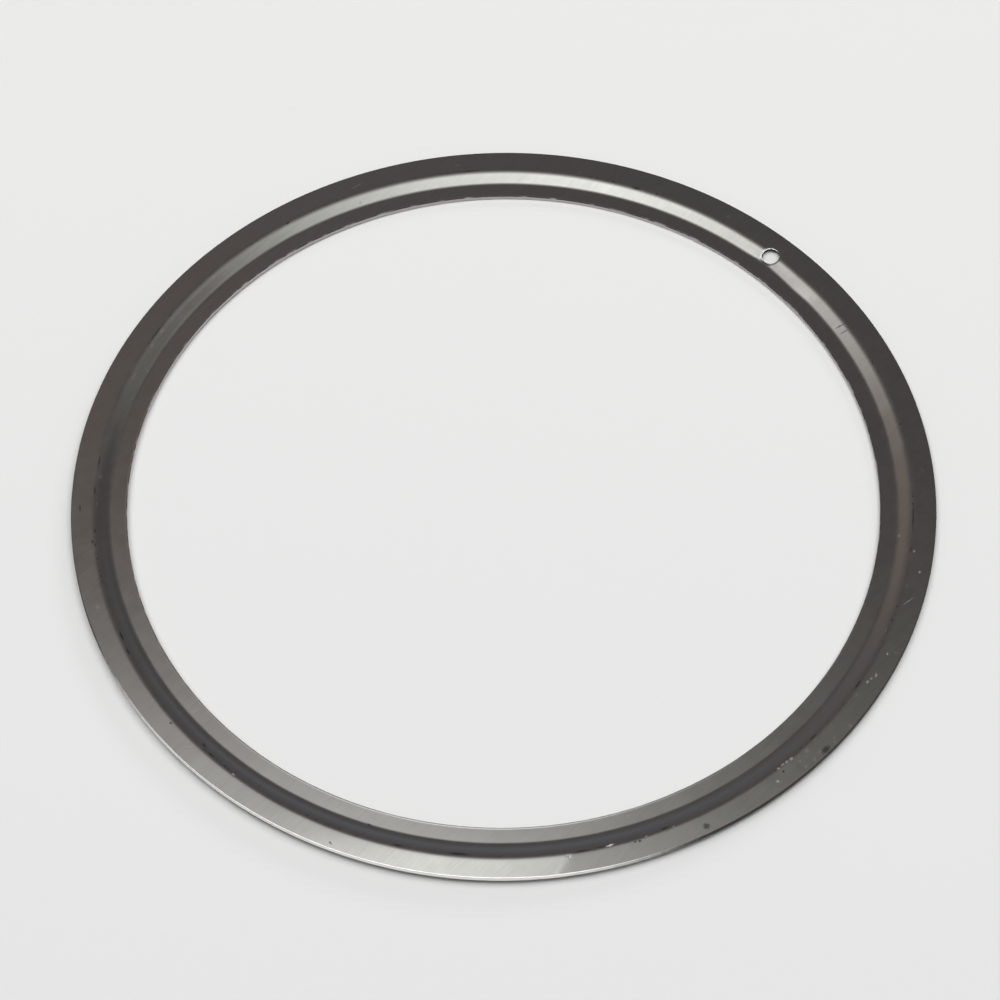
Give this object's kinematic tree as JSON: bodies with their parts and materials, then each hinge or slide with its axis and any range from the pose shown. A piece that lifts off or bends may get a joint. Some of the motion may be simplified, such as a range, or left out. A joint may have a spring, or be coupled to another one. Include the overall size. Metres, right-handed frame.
{
  "type": "embossed metal ring gasket",
  "caption": "Flat pressed stainless ring gasket with a half-bead step between its inner and outer lands and a small pierced hole, for sealing a round clamped pipe or exhaust joint.",
  "frame": {"origin": "centre of the bore, in the plane of the inner land's underside, on which the gasket lies", "axes": "+Z along the ring's axis, from the inner land towards the raised outer land; +X through the centre of the small hole; +Y completes a right-handed set"},
  "size_m": [0.11, 0.11, 0.0009],
  "materials": {
    "stainless_sheet": "cold-rolled mill finish with a satin sheen, faint handling scratches and bright sheared edges"
  },
  "bodies": {
    "root": {"gasket_ring": "stainless_sheet"}
  },
  "joints": []
}
